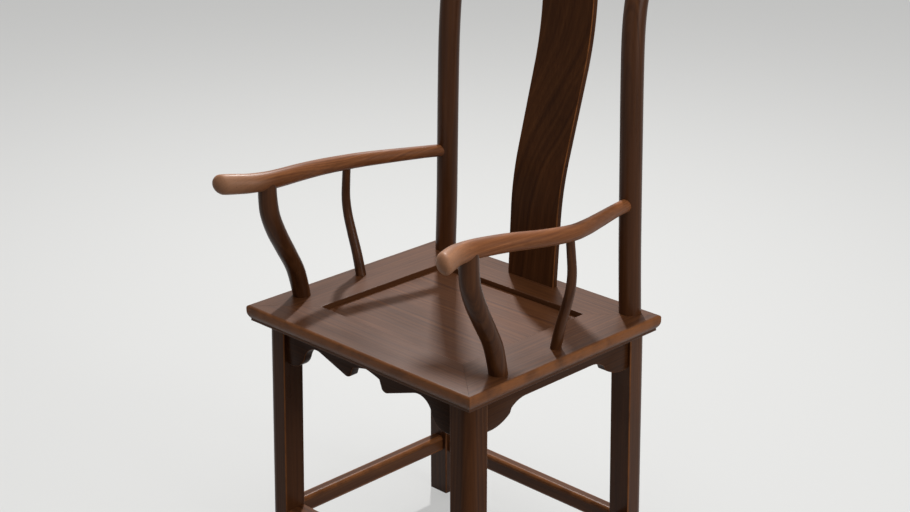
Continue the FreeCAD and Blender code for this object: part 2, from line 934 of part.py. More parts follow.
def make_side_rail(label, side):
    name = "seat_rail_" + label
    start, steps = edge_profile(half_width, 1, inner_side)
    if side < 0:
        start, steps = mirrored(start, steps)
    bar = board(name + "_bar", "xz", (start, steps), front_edge, back_edge)
    plan = board(name + "_plan", "xy", side_trapezoid(side), frame_under - overrun, seat_top + overrun)
    kept = common(name + "_mitred", bar, plan)
    tenons = [block("%s_tenon_%d" % (name, front > 0), *corner_tenon(side, front)) for front in (-1, 1)]
    whole = fuse(name + "_whole", [kept] + tenons)
    tools = [panel_tool(name + "_groove", gap)]
    tools += [leg_holes("%s_leg_hole_%d" % (name, front > 0), side, front) for front in (-1, 1)]
    feet = ((gooseneck_foot(side), "gooseneck_tenon"), (side_post_foot(side), "side_post_tenon"))
    for number, (foot, tenon) in enumerate(feet):
        low = seat_top - cell("seat_tenon_depth") - gap
        high = seat_top + overrun
        tools.append(stub("%s_mortise_%d" % (name, number), foot[0], foot[1], low, high, cell(tenon), gap))
    return finish(name, cut(name + "_cut", whole, tools))


def make_cross_rail(label, front):
    name = "seat_rail_" + label
    edge = front_edge if front < 0 else back_edge
    inner = inner_front if front < 0 else inner_back
    bar = board(name + "_bar", "yz", edge_profile(edge, front, inner), -half_width, half_width)
    plan = board(name + "_plan", "xy", cross_trapezoid(front), frame_under - overrun, seat_top + overrun)
    kept = common(name + "_mitred", bar, plan)
    tools = [panel_tool(name + "_groove", gap)]
    for number, side in enumerate((-1, 1)):
        tools.append(socket(name + "_corner_%d" % number, *corner_tenon(side, front)))
        tools.append(leg_holes(name + "_leg_hole_%d" % number, side, front))
        x = side * cell("batten_spacing") / 2
        tools.append(socket(name + "_batten_%d" % number, *batten_tenons(x)))
    if front > 0:
        tools.append(splat_solid(name + "_splat_slot", gap))
    return finish(name, cut(name + "_cut", kept, tools))


def batten_key(x, grow):
    # the dovetail along a batten's top, seen from the front
    neck = cell("batten_neck") / 2 + grow
    flare = cell("batten_flare") / 2 + grow
    top = panel_under + cell("batten_key") + grow
    steps = [
        line_to((x + neck, panel_under - grow)),
        line_to((x + flare, top)),
        line_to((x - flare, top)),
        line_to((x - neck, panel_under - grow)),
    ]
    return (x - neck, panel_under - grow), steps


def make_panel():
    core_low = (-inner_side + gap, inner_front + gap, panel_under)
    core_high = (inner_side - gap, inner_back - gap, panel_top)
    whole = fuse("panel_whole", [block("panel_core", core_low, core_high), panel_tool("panel_tongues", 0)])
    tools = []
    for number, side in enumerate((-1, 1)):
        x = side * cell("batten_spacing") / 2
        low = inner_front - overrun
        tools.append(board("panel_key_%d" % number, "xz", batten_key(x, gap), low, inner_back + overrun))
    return finish("seat_panel", cut("panel_cut", whole, tools))


def make_batten(label, side):
    name = "seat_batten_" + label
    x = side * cell("batten_spacing") / 2
    half = cell("batten_width") / 2
    low = (x - half, inner_front + gap, panel_under - cell("batten_drop"))
    bar = block(name + "_bar", low, (x + half, inner_back - gap, panel_under))
    key = board(name + "_key", "xz", batten_key(x, 0), inner_front + gap, inner_back - gap)
    tenons = block(name + "_tenons", *batten_tenons(x))
    return finish(name, fuse(name + "_whole", [bar, key, tenons]))


def make_front_leg(label, side):
    name = "front_leg_" + label
    leg = leg_solid(name + "_leg", side, -1)
    whole = fuse(name + "_whole", [leg, block(name + "_tenon", *leg_tenon(side))])
    return finish(name, cut(name + "_cut", whole, leg_sockets(name, side, -1)))


# Aprons: the front one is sawn to a kunmen, a cusped arch; the others are straight between heads.
def meet_leg(origin, sense, depth):
    # where an apron's edge meets the sloping face of a leg, at a depth under the frame
    return origin - sense * cell("leg_splay") * depth / frame_under, frame_under - depth


peak_share = 0.16
peak_drop_share = 0.30
peak_hollow_share = 0.42
lobe_shares = (0.19, 0.26)
lobe_depth_shares = (0.80, 0.96)
neck_shares = (0.57, 0.66)
neck_crown_share = 0.94
fall_shares = (0.735, 0.765, 0.82)
fall_depth_shares = (0.22, 0.46, 0.86)


def kunmen_half(side, half):
    # one half of the lower edge, from the peak out to the leg
    peak = cell("kunmen_peak_depth")
    lobe = cell("kunmen_lobe_depth")
    neck = cell("kunmen_neck_depth")
    head = cell("kunmen_head_depth")
    shoulder = between(peak, lobe, peak_drop_share)

    def at(share, depth):
        return (side * half * share, frame_under - depth)

    falls = zip(fall_shares, fall_depth_shares)
    fall = [at(share, between(neck, head, depth)) for share, depth in falls]
    sides_of_lobe = zip(lobe_shares, lobe_depth_shares)
    lobe_start, lobe_end = [at(share, between(shoulder, lobe, depth)) for share, depth in sides_of_lobe]
    return [
        arc_to(at(peak_share / 2, between(peak, shoulder, peak_hollow_share)), at(peak_share, shoulder)),
        line_to(lobe_start),
        arc_to(at(sum(lobe_shares) / 2, lobe), lobe_end),
        line_to(at(neck_shares[0], neck)),
        arc_to(at(sum(neck_shares) / 2, neck * neck_crown_share), at(neck_shares[1], neck)),
        arc_to(fall[0], fall[1]),
        arc_to(fall[2], meet_leg(side * half, -side, head)),
    ]


def make_front_apron():
    half = leg_x - half_leg
    middle = apron_line_y(-1)
    thick = cell("apron_thickness") / 2
    peak = (size_of(0), frame_under - cell("kunmen_peak_depth"))
    left_end, left = reversed_steps(peak, kunmen_half(-1, half))
    steps = left + kunmen_half(1, half)
    steps += [line_to((half, frame_under)), line_to((-half, frame_under)), line_to(left_end)]
    plate = board("front_apron_plate", "xz", (left_end, steps), middle - thick, middle + thick)
    tongues = []
    for label, side in sides.items():
        tongues.append(block("front_apron_tongue_" + label, *tongue_along_x(side, -1)))
    return finish("front_apron", fuse("front_apron_whole", [plate] + tongues))


head_curl_shares = ((0.36, 0.92), (0.60, 0.58))
head_cusp_share = (0.64, 0.34)
head_rise_share = (0.80, 0.09)


def straight_apron_outline(start, end):
    # the lower edge between two legs: a shaped head at each, and a straight run between them
    shallow = cell("apron_depth")
    deep = cell("apron_head_depth")
    width = cell("apron_head_width")

    def head_steps(origin, sense):
        def at(along, down):
            return (origin + sense * width * along, frame_under - between(shallow, deep, down))

        curl = [at(*shares) for shares in head_curl_shares]
        return [arc_to(*curl), line_to(at(*head_cusp_share)), arc_to(at(*head_rise_share), at(1, 0))]

    first = meet_leg(size_of(start), 1, deep)
    far_start, far = reversed_steps(meet_leg(size_of(end), -1, deep), head_steps(end, -1))
    steps = head_steps(start, 1) + [line_to(far_start)] + far
    return first, steps + [line_to((end, frame_under)), line_to((start, frame_under)), line_to(first)]


def make_side_apron(label, side):
    name = "side_apron_" + label
    middle = apron_line_x(side)
    thick = cell("apron_thickness") / 2
    outline = straight_apron_outline(front_leg_y + half_leg, back_leg_y - half_leg)
    plate = board(name + "_plate", "yz", outline, middle - thick, middle + thick)
    tongues = [block("%s_tongue_%d" % (name, front > 0), *tongue_along_y(side, front)) for front in (-1, 1)]
    return finish(name, fuse(name + "_whole", [plate] + tongues))


def make_back_apron():
    half = leg_x - half_leg
    middle = apron_line_y(1)
    thick = cell("apron_thickness") / 2
    outline = straight_apron_outline(-half, half)
    plate = board("back_apron_plate", "xz", outline, middle - thick, middle + thick)
    tongues = []
    for label, side in sides.items():
        tongues.append(block("back_apron_tongue_" + label, *tongue_along_x(side, 1)))
    return finish("back_apron", fuse("back_apron_whole", [plate] + tongues))


# Stretchers run from leg to leg between the floor and the seat; the front one is a footrest.
def make_side_stretcher(label, side):
    name = "stretcher_" + label
    level = cell("side_stretcher_level")
    wide = cell("stretcher_width") / 2
    tall = cell("stretcher_height") / 2
    x, near = leg_axis(side, -1, level)
    far = leg_axis(side, 1, level)[1]
    outline = rounded(x - wide, x + wide, level - tall, level + tall, [cell("stretcher_round")] * 4)
    bar = board(name + "_bar", "xz", outline, near, far)
    shoulders = shouldered(name, bar, [(side, -1), (side, 1)])
    tenons = [block("%s_tenon_%d" % (name, front > 0), *side_tenon(side, front)) for front in (-1, 1)]
    return finish(name, fuse(name + "_whole", [shoulders] + tenons))


def cross_bar(name, front, outline):
    # a bar between the two front or the two back legs
    reach = leg_axis(1, front, cross_level(front))[0]
    bar = board(name + "_bar", "yz", outline, -reach, reach)
    shoulders = shouldered(name, bar, [(side, front) for side in sides.values()])
    tenons = []
    for label, side in sides.items():
        tenons.append(block("%s_tenon_%s" % (name, label), *cross_tenon(side, front)))
    return finish(name, fuse(name + "_whole", [shoulders] + tenons))


def make_back_stretcher():
    level = cross_level(1)
    y = leg_axis(1, 1, level)[1]
    wide = cell("stretcher_width") / 2
    tall = cell("stretcher_height") / 2
    outline = rounded(y - wide, y + wide, level - tall, level + tall, [cell("stretcher_round")] * 4)
    return cross_bar("stretcher_back", 1, outline)


def make_footrest():
    y = leg_axis(1, -1, cross_level(-1))[1]
    deep = cell("footrest_depth") / 2
    top = cell("footrest_top")
    radii = [cell("footrest_round"), cell("leg_arris"), cell("leg_arris"), cell("footrest_round")]
    outline = rounded(y - deep, y + deep, top - cell("footrest_height"), top, radii)
    return cross_bar("stretcher_front", -1, outline)


foot_bend_share = 0.66
foot_bend_drop_share = 0.64
foot_flat_share = 0.40


def make_footrest_apron():
    # a narrow board under the footrest, a little deeper beside the legs
    top = cell("footrest_top") - cell("footrest_height")
    low = top - cell("footrest_apron_height")
    run = low + cell("footrest_apron_rise")
    end, y = leg_axis(1, -1, top)
    half = end - half_leg
    foot = cell("footrest_apron_foot")
    thick = cell("footrest_apron_thickness") / 2
    near = half - foot * foot_bend_share
    level = between(low, run, foot_bend_drop_share)
    steps = [
        line_to((half - foot * foot_flat_share, low)),
        arc_to((near, level), (half - foot, run)),
        line_to((-half + foot, run)),
        arc_to((-near, level), (-half + foot * foot_flat_share, low)),
        line_to((-end, low)),
        line_to((-end, top)),
        line_to((end, top)),
        line_to((end, low)),
    ]
    plate = board("footrest_apron_plate", "xz", ((end, low), steps), y - thick, y + thick)
    legs = [(side, -1) for side in sides.values()]
    return finish("footrest_apron", shouldered("footrest_apron", plate, legs))


make_crest_rail()
make_splat()
for label, side in sides.items():
    make_back_post(label, side)
    make_arm(label, side)
    make_support("gooseneck_" + label, gooseneck_stations(side), side, "gooseneck_tenon")
    make_support("side_post_" + label, side_post_stations(side), side, "side_post_tenon")
    make_side_rail(label, side)
    make_batten(label, side)
    make_front_leg(label, side)
    make_side_apron(label, side)
    make_side_stretcher(label, side)
make_cross_rail("front", -1)
make_cross_rail("back", 1)
make_panel()
make_front_apron()
make_back_apron()
make_back_stretcher()
make_footrest()
make_footrest_apron()

doc.recompute()

for item in doc.Objects:
    if "Invalid" in item.State or "Error" in item.State:
        raise RuntimeError("%s failed: %s" % (item.Name, item.State))
for label, piece in pieces.items():
    if piece.Shape.isNull() or not piece.Shape.isValid():
        raise RuntimeError("%s has no sound shape" % label)

whole_box = FreeCAD.BoundBox()
for label, piece in pieces.items():
    piece.Shape.exportStep("parts/%s.step" % label)
    whole_box.add(piece.Shape.BoundBox)
    print("%-20s solids %d  volume %.0f" % (label, len(piece.Shape.Solids), piece.Shape.Volume))
print("box", [round(value, 1) for value in (
    whole_box.XMin, whole_box.XMax, whole_box.YMin, whole_box.YMax, whole_box.ZMin, whole_box.ZMax)])
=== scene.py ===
import math

import bmesh
import bpy
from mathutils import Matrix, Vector


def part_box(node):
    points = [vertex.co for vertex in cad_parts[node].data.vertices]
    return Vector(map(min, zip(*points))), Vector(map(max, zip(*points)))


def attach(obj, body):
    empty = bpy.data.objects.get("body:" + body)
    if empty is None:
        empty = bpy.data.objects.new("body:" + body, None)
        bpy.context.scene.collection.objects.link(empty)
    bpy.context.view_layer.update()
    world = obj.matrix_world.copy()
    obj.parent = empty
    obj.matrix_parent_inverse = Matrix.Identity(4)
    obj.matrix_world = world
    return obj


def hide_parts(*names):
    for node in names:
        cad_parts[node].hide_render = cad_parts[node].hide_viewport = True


# Official's hat chair in dark polished hardwood. Metres, floor at z = 0, sitter faces -Y.
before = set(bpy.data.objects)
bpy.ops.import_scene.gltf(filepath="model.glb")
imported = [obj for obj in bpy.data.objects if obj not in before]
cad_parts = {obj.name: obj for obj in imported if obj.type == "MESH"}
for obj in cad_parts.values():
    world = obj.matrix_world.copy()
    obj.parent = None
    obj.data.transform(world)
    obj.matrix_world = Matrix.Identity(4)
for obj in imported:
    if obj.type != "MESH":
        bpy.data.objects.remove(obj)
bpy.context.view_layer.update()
print("frame loaded with", len(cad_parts), "timbers")


# Node helpers

def findSocket(sockets, name):
    if isinstance(name, int):
        return sockets[name]
    return next(item for item in sockets if item.name == name and item.enabled)


def addNode(tree, kind, feeds=None, **choices):
    # a new node with its options set first, because they decide which inputs it shows
    made = tree.nodes.new(kind)
    for choice, value in choices.items():
        setattr(made, choice, value)
    for name, feed in (feeds or {}).items():
        target = findSocket(made.inputs, name)
        if isinstance(feed, bpy.types.NodeSocket):
            tree.links.new(feed, target)
        else:
            target.default_value = feed
    return made


def doMath(tree, operation, first, second=0.0):
    return addNode(tree, "ShaderNodeMath", {0: first, 1: second}, operation=operation).outputs[0]


def doVectorMath(tree, operation, first, second=(0.0, 0.0, 0.0)):
    return addNode(tree, "ShaderNodeVectorMath", {0: first, 1: second}, operation=operation).outputs[0]


def scaleVector(tree, vector, amount):
    node = addNode(tree, "ShaderNodeVectorMath", {0: vector, "Scale": amount}, operation="SCALE")
    return node.outputs[0]


def mixColour(tree, factor, first, second):
    made = addNode(tree, "ShaderNodeMix", {"Factor": factor, "A": first, "B": second}, data_type="RGBA")
    return findSocket(made.outputs, "Result")


def openGroup(name, kind, inputs, outputs):
    # a node group with named inputs and outputs, and nothing in it yet
    tree = bpy.data.node_groups.new(name, kind)
    for label, socketType, value in inputs:
        made = tree.interface.new_socket(label, in_out="INPUT", socket_type=socketType)
        if value is not None:
            made.default_value = value
    for label, socketType in outputs:
        tree.interface.new_socket(label, in_out="OUTPUT", socket_type=socketType)
    given = tree.nodes.new("NodeGroupInput").outputs
    result = tree.nodes.new("NodeGroupOutput").inputs
    return tree, given, result


meshSettings = {"weld": 0.00001, "crispFrom": 35}


# Geometry Nodes: a timber is a section carried along a path, without turning it

def buildTimberTree():
    tree, given, result = openGroup(
        "timberAlongPath",
        "GeometryNodeTree",
        [
            ("Path", "NodeSocketGeometry", None),
            ("Section", "NodeSocketObject", None),
            ("Rows", "NodeSocketInt", 60),
            ("Crowding", "NodeSocketFloat", 0.0),
            ("Across", "NodeSocketVector", (1.0, 0.0, 0.0)),
            ("Up", "NodeSocketVector", (0.0, 0.0, 1.0)),
            ("Mitre Start", "NodeSocketFloat", 0.0),
            ("Mitre End", "NodeSocketFloat", 0.0),
            ("Weld", "NodeSocketFloat", meshSettings["weld"]),
            ("Finish", "NodeSocketMaterial", None),
        ],
        [("Timber", "NodeSocketGeometry")],
    )
    curve = addNode(tree, "GeometryNodeMeshToCurve", {"Mesh": given["Path"]}).outputs[0]
    smooth = addNode(tree, "GeometryNodeCurveSplineType", {"Curve": curve}, spline_type="CATMULL_ROM")
    curve = addNode(
        tree,
        "GeometryNodeSetSplineResolution",
        {"Geometry": smooth.outputs[0], "Resolution": 16},
    ).outputs[0]
    position = tree.nodes.new("GeometryNodeInputPosition").outputs[0]
    section = addNode(tree, "GeometryNodeObjectInfo", {"Object": given["Section"]}).outputs["Geometry"]
    sides = addNode(tree, "GeometryNodeAttributeDomainSize", {"Geometry": section}).outputs["Point Count"]

    # a flat grid, one column more than the section has points so that it closes on itself
    columns = doMath(tree, "ADD", sides, 1.0)
    grid = addNode(
        tree,
        "GeometryNodeMeshGrid",
        {"Size X": 1.0, "Size Y": 1.0, "Vertices X": given["Rows"], "Vertices Y": columns},
    ).outputs["Mesh"]
    place = addNode(tree, "ShaderNodeSeparateXYZ", {0: position})
    last = doMath(tree, "SUBTRACT", given["Rows"], 1.0)
    rowShare = doMath(tree, "ADD", place.outputs[0], 0.5)
    row = doMath(tree, "ROUND", doMath(tree, "MULTIPLY", rowShare, last))
    sideShare = doMath(tree, "ADD", place.outputs[1], 0.5)
    side = doMath(tree, "ROUND", doMath(tree, "MULTIPLY", sideShare, sides))
    point = doMath(tree, "MODULO", side, sides)

    # the first and last rows shrink to a point and close the ends; rows may crowd towards them
    span = doMath(tree, "SUBTRACT", last, 2.0)
    share = doMath(tree, "DIVIDE", doMath(tree, "SUBTRACT", row, 1.0), span)
    share = addNode(tree, "ShaderNodeClamp", {"Value": share}).outputs[0]
    swing = doMath(tree, "SINE", doMath(tree, "MULTIPLY", share, math.tau))
    swing = doMath(tree, "DIVIDE", doMath(tree, "MULTIPLY", swing, given["Crowding"]), math.tau)
    along = doMath(tree, "SUBTRACT", share, swing)
    inside = doMath(tree, "MULTIPLY", doMath(tree, "GREATER_THAN", row, 0.5),
                    doMath(tree, "LESS_THAN", row, doMath(tree, "SUBTRACT", last, 0.5)))

    size = addNode(tree, "GeometryNodeInputNamedAttribute", {"Name": "size"}, data_type="FLOAT_VECTOR")
    onPath = addNode(
        tree,
        "GeometryNodeSampleCurve",
        {"Curves": curve, "Value": size.outputs["Attribute"], "Factor": along},
        mode="FACTOR",
        data_type="FLOAT_VECTOR",
        use_all_curves=True,
    )
    corner = addNode(
        tree,
        "GeometryNodeSampleIndex",
        {"Geometry": section, "Value": position, "Index": point},
        domain="POINT",
        data_type="FLOAT_VECTOR",
    ).outputs[0]
    # the section's arris mask, which marks rubbed wear and a painted highlight, is carried onto the timber
    wear = addNode(tree, "GeometryNodeInputNamedAttribute", {"Name": "wear"}, data_type="FLOAT")
    cornerWearAndHighlight = addNode(
        tree,
        "GeometryNodeSampleIndex",
        {"Geometry": section, "Value": wear.outputs["Attribute"], "Index": point},
        domain="POINT",
        data_type="FLOAT",
    ).outputs[0]
    grown = doVectorMath(tree, "MULTIPLY", corner, onPath.outputs["Value"])
    grown = addNode(tree, "ShaderNodeSeparateXYZ", {0: grown})
    wide = doMath(tree, "MULTIPLY", grown.outputs[0], inside)
    tall = doMath(tree, "MULTIPLY", grown.outputs[1], inside)
    slope = addNode(
        tree,
        "ShaderNodeMix",
        {"Factor": share, "A": given["Mitre Start"], "B": given["Mitre End"]},
    ).outputs[0]
    forward = doVectorMath(tree, "CROSS_PRODUCT", given["Across"], given["Up"])
    offset = doVectorMath(tree, "ADD", scaleVector(tree, given["Across"], wide),
                          scaleVector(tree, given["Up"], tall))
    skew = scaleVector(tree, forward, doMath(tree, "MULTIPLY", wide, slope))
    offset = doVectorMath(tree, "ADD", offset, skew)
    target = doVectorMath(tree, "ADD", onPath.outputs["Position"], offset)

    wornAndLit = addNode(
        tree,
        "GeometryNodeStoreNamedAttribute",
        {"Geometry": grid, "Name": "wear", "Value": cornerWearAndHighlight},
        data_type="FLOAT",
        domain="POINT",
    ).outputs[0]
    moved = addNode(tree, "GeometryNodeSetPosition", {"Geometry": wornAndLit, "Position": target}).outputs[0]
    welded = addNode(tree, "GeometryNodeMergeByDistance", {"Geometry": moved, "Distance": given["Weld"]})
    timber = addNode(tree, "GeometryNodeRealizeInstances", {"Geometry": welded.outputs[0]}).outputs[0]
    timber = addNode(tree, "GeometryNodeSetMaterial", {"Geometry": timber, "Material": given["Finish"]})
    tree.links.new(timber.outputs[0], result[0])
    return tree


timberTree = buildTimberTree()
print("timber tree built")


def sealMesh(mesh):
    # welds the corners, turns the faces outwards and keeps real edges crisp
    work = bmesh.new()
    work.from_mesh(mesh)
    bmesh.ops.remove_doubles(work, verts=work.verts, dist=meshSettings["weld"])
    bmesh.ops.dissolve_degenerate(work, edges=work.edges, dist=meshSettings["weld"])
    bmesh.ops.recalc_face_normals(work, faces=work.faces)
    for face in work.faces:
        face.smooth = True
    work.to_mesh(mesh)
    work.free()
    mesh.set_sharp_from_angle(angle=math.radians(meshSettings["crispFrom"]))


def carryTimber(name, stations, section, finish, across, up, rows, crowding=0.0, mitres=(0.0, 0.0)):
    # stations are a centre and its two sizes, as shares of the section
    path = bpy.data.meshes.new(name)
    steps = [(number, number + 1) for number in range(len(stations) - 1)]
    path.from_pydata([centre for centre, size in stations], steps, [])
    sizes = path.attributes.new("size", "FLOAT_VECTOR", "POINT")
    flat = [part for centre, size in stations for part in (size[0], size[1], 1.0)]
    sizes.data.foreach_set("vector", flat)
    piece = bpy.data.objects.new(name, path)
    bpy.context.scene.collection.objects.link(piece)
    modifier = piece.modifiers.new("timber", "NODES")
    modifier.node_group = timberTree
    values = {
        "Section": section,
        "Rows": rows,
        "Crowding": crowding,
        "Across": across,
        "Up": up,
        "Mitre Start": mitres[0],
        "Mitre End": mitres[1],
        "Finish": finish,
    }
    for item in timberTree.interface.items_tree:
        if item.in_out == "INPUT" and item.name in values:
            modifier[item.identifier] = values[item.name]
    ready = piece.evaluated_get(bpy.context.evaluated_depsgraph_get())
    mesh = bpy.data.meshes.new_from_object(ready)
    piece.modifiers.remove(modifier)
    piece.data = mesh
    sealMesh(mesh)
    return piece


# Sections
sectionSettings = {
    "sides": 48,
    "flatMargin": 0.0004,  # how far the point that keeps a flat shading flat lies from its corner
    "fineFrom": 0.004,  # a larger corner gets more steps
    "fineSteps": 12,
    "coarseSteps": 5,
    # corners below this size carry the arris mask, which is rubbed wear and a painted highlight
    "wornAndLitBelow": 0.012,  # a larger corner is a shape of its own and isn't rubbed
}
sectionObjects = []


def keepSection(name, points, wear):
    mesh = bpy.data.meshes.new(name)
    mesh.from_pydata([(x, y, 0.0) for x, y in points], [], [])
    mesh.attributes.new("wear", "FLOAT", "POINT").data.foreach_set("value", wear)
    piece = bpy.data.objects.new(name, mesh)
    bpy.context.scene.collection.objects.link(piece)
    sectionObjects.append(piece)
    return piece


def roundSection():
    sides = sectionSettings["sides"]
    turns = [math.tau * n / sides for n in range(sides)]
    return keepSection("roundSection", [(math.cos(t), math.sin(t)) for t in turns], [0.0] * sides)


def arcPoints(middle, radius, start, end, steps):
    # an eased corner, with one more point on the flat before it and one on the flat after it
    turns = [math.radians(start + (end - start) * n / steps) for n in range(steps + 1)]
    arc = [Vector((middle[0] + radius * math.cos(t), middle[1] + radius * math.sin(t))) for t in turns]
    lead = Vector((math.sin(turns[0]), -math.cos(turns[0]))) * sectionSettings["flatMargin"]
    trail = Vector((-math.sin(turns[-1]), math.cos(turns[-1]))) * sectionSettings["flatMargin"]
    wear = [0.0, 0.0] + [1.0] * (steps - 1) + [0.0, 0.0]
    return [arc[0] + lead] + arc + [arc[-1] + trail], wear


def easedSection(name, halfWidth, halfHeight, radii):
    # a rectangle with an arc at each corner, from the lower left one anticlockwise
    points = []
    wear = []
    for number, radius in enumerate(radii):
        signX = (-1, 1, 1, -1)[number]
        signY = (-1, -1, 1, 1)[number]
        middle = (signX * (halfWidth - radius), signY * (halfHeight - radius))
        steps = sectionSettings["fineSteps" if radius > sectionSettings["fineFrom"] else "coarseSteps"]
        more, rubbedAndLit = arcPoints(middle, radius, 180 + 90 * number, 270 + 90 * number, steps)
        points += more
        wear += rubbedAndLit if radius < sectionSettings["wornAndLitBelow"] else [0.0] * len(rubbedAndLit)
    return keepSection(name, points, wear)


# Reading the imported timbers
readSettings = {"slack": 0.00005, "seatSlack": 0.001, "ringCorners": 16}
endTurns = (25, 45, 60, 72, 82, 90)  # degrees round a rounded end


def levelsOf(node, axis):
    # the corners of a timber, grouped where they share a level along an axis
    corners = {tuple(round(part, 6) for part in vertex.co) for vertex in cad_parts[node].data.vertices}
    groups = []
    for corner in sorted(corners, key=lambda item: item[axis]):
        if groups and corner[axis] - groups[-1][0][axis] < readSettings["slack"]:
            groups[-1].append(corner)
        else:
            groups.append([corner])
    return groups


def ringsOf(node, axis, across, up):
    # Centre and half sizes of each ring that a curved timber was planed to. A true ring has corners at
    # its exact left, right and top; a mortise may have cut its lower or front side away.
    rings = []
    for group in levelsOf(node, axis):
        if len(group) < readSettings["ringCorners"]:
            continue
        low = min(group, key=lambda item: item[across])
        high = max(group, key=lambda item: item[across])
        top = max(group, key=lambda item: item[up])
        middle = (low[across] + high[across]) / 2
        if max(abs(low[up] - high[up]), abs(top[across] - middle)) > readSettings["slack"]:
            continue
        centre = [0.0, 0.0, 0.0]
        centre[axis] = low[axis]
        centre[across] = middle
        centre[up] = (low[up] + high[up]) / 2
        rings.append((centre, ((high[across] - low[across]) / 2, top[up] - centre[up])))
    return rings


def middleOf(group):
    return [(min(part) + max(part)) / 2 for part in zip(*group)]


def roundEnd(ring, before, axis, reach):
    # a rounded end that carries on the way the timber points, up to a reach along the axis
    heading = Vector(ring[0]) - Vector(before[0])
    heading /= abs(heading[axis])
    rings = []
    for turn in endTurns:
        centre = Vector(ring[0]) + heading * reach * math.sin(math.radians(turn))
        rings.append((list(centre), [part * math.cos(math.radians(turn)) for part in ring[1]]))
    return rings


# Wood
grainSettings = {
    "pith": (0.43, -0.31, 0.0),  # the heart of the log, which the growth rings go round
    "slowStretch": 0.28,
    "streakStretch": 0.022,
    "poreStretch": 0.06,
    "ringShare": 0.55,
    "toneRelief": 0.35,
}


def stretchAlong(tree, vector, scale):
    # draws a pattern out along the grain
    return addNode(tree, "ShaderNodeMapping", {"Vector": vector, "Scale": (1.0, 1.0, scale)}).outputs[0]


def buildGrainGroup():
    # growth rings, fibre streaks and open pores, with the grain along Z
    tree, given, result = openGroup(
        "hardwoodGrain",
        "ShaderNodeTree",
        [
            ("Vector", "NodeSocketVector", None),
            ("Ring Spacing", "NodeSocketFloat", 0.005),
            ("Waviness", "NodeSocketFloat", 0.01),
            ("Pore Share", "NodeSocketFloat", 0.35),
        ],
        [("Tone", "NodeSocketFloat"), ("Pores", "NodeSocketFloat"), ("Mottle", "NodeSocketFloat"),
         ("Height", "NodeSocketFloat")],
    )
    slow = stretchAlong(tree, given["Vector"], grainSettings["slowStretch"])
    warp = addNode(tree, "ShaderNodeTexNoise", {"Vector": slow, "Scale": 7.0, "Detail": 2.0})
    warp = doVectorMath(tree, "SUBTRACT", warp.outputs["Color"], (0.5, 0.5, 0.5))
    bent = doVectorMath(tree, "ADD", given["Vector"], scaleVector(tree, warp, given["Waviness"]))
    fromPith = doVectorMath(tree, "SUBTRACT", bent, grainSettings["pith"])
    fromPith = doVectorMath(tree, "MULTIPLY", fromPith, (1.0, 1.0, 0.0))
    distance = addNode(tree, "ShaderNodeVectorMath", {0: fromPith}, operation="LENGTH").outputs["Value"]
    ringTone = addNode(
        tree,
        "ShaderNodeTexNoise",
        {"W": doMath(tree, "DIVIDE", distance, given["Ring Spacing"]), "Scale": 1.0, "Detail": 2.5},
        noise_dimensions="1D",
    ).outputs["Fac"]
    fine = stretchAlong(tree, bent, grainSettings["streakStretch"])
    streaks = addNode(tree, "ShaderNodeTexNoise",
                      {"Vector": fine, "Scale": 260.0, "Detail": 4.0, "Roughness": 0.62}).outputs["Fac"]
    poreSpace = stretchAlong(tree, bent, grainSettings["poreStretch"])
    poreNoise = addNode(tree, "ShaderNodeTexNoise",
                        {"Vector": poreSpace, "Scale": 850.0, "Detail": 1.0}).outputs["Fac"]
    pores = addNode(tree, "ShaderNodeMapRange",
                    {"Value": poreNoise, "From Min": 0.60, "From Max": 0.72}).outputs["Result"]
    pores = doMath(tree, "MULTIPLY", pores, given["Pore Share"])
    mottle = addNode(tree, "ShaderNodeTexNoise", {"Vector": slow, "Scale": 14.0, "Detail": 3.0})
    tone = doMath(
        tree,
        "ADD",
        doMath(tree, "MULTIPLY", ringTone, grainSettings["ringShare"]),
        doMath(tree, "MULTIPLY", streaks, 1.0 - grainSettings["ringShare"]),
    )
    height = doMath(tree, "SUBTRACT", doMath(tree, "MULTIPLY", tone, grainSettings["toneRelief"]), pores)
    for label, feed in (("Tone", tone), ("Pores", pores), ("Mottle", mottle.outputs["Fac"]),
                        ("Height", height)):
        tree.links.new(feed, result[label])
    return tree


def buildWearAndHighlightGroup():
    # rubbed arrises that also carry a painted highlight, broken up so that the wear and the highlight come
    # and go
    tree, given, result = openGroup(
        "rubbedAndLitArris",
        "ShaderNodeTree",
        [("Vector", "NodeSocketVector", None), ("Arris", "NodeSocketFloat", 0.0)],
        [("RubbedAndLit", "NodeSocketFloat")],
    )
    cloud = addNode(tree, "ShaderNodeTexNoise", {"Vector": given["Vector"], "Scale": 26.0, "Detail": 3.0})
    patches = addNode(
        tree,
        "ShaderNodeMapRange",
        {"Value": cloud.outputs["Fac"], "From Min": 0.20, "From Max": 0.56},
    ).outputs["Result"]
    tree.links.new(doMath(tree, "MULTIPLY", given["Arris"], patches), result["RubbedAndLit"])
    return tree


grainGroup = buildGrainGroup()
wearAndHighlightGroup = buildWearAndHighlightGroup()

grainTurns = {
    "x": (0.0, math.pi / 2, 0.0),
    "y": (math.pi / 2, 0.0, 0.0),
    "z": (0.0, 0.0, 0.0),
}

woodColours = {
    "deep": (0.050, 0.0165, 0.0060, 1.0),
    "body": (0.080, 0.0280, 0.0095, 1.0),
    "warm": (0.114, 0.0420, 0.0145, 1.0),
    "rubbedAndLit": (0.300, 0.1080, 0.0330, 1.0),
    "handledAndLit": (0.360, 0.1850, 0.1050, 1.0),
}


# what every finish has unless its own line says otherwise
plainFinish = {
    "ringSpacing": 0.005,
    "waviness": 0.012,
    "poreShare": 0.35,
    "lift": 1.0,
    "polish": 0.30,
    "shine": 0.20,
    "bump": 0.12,
    "gripAt": None,
}
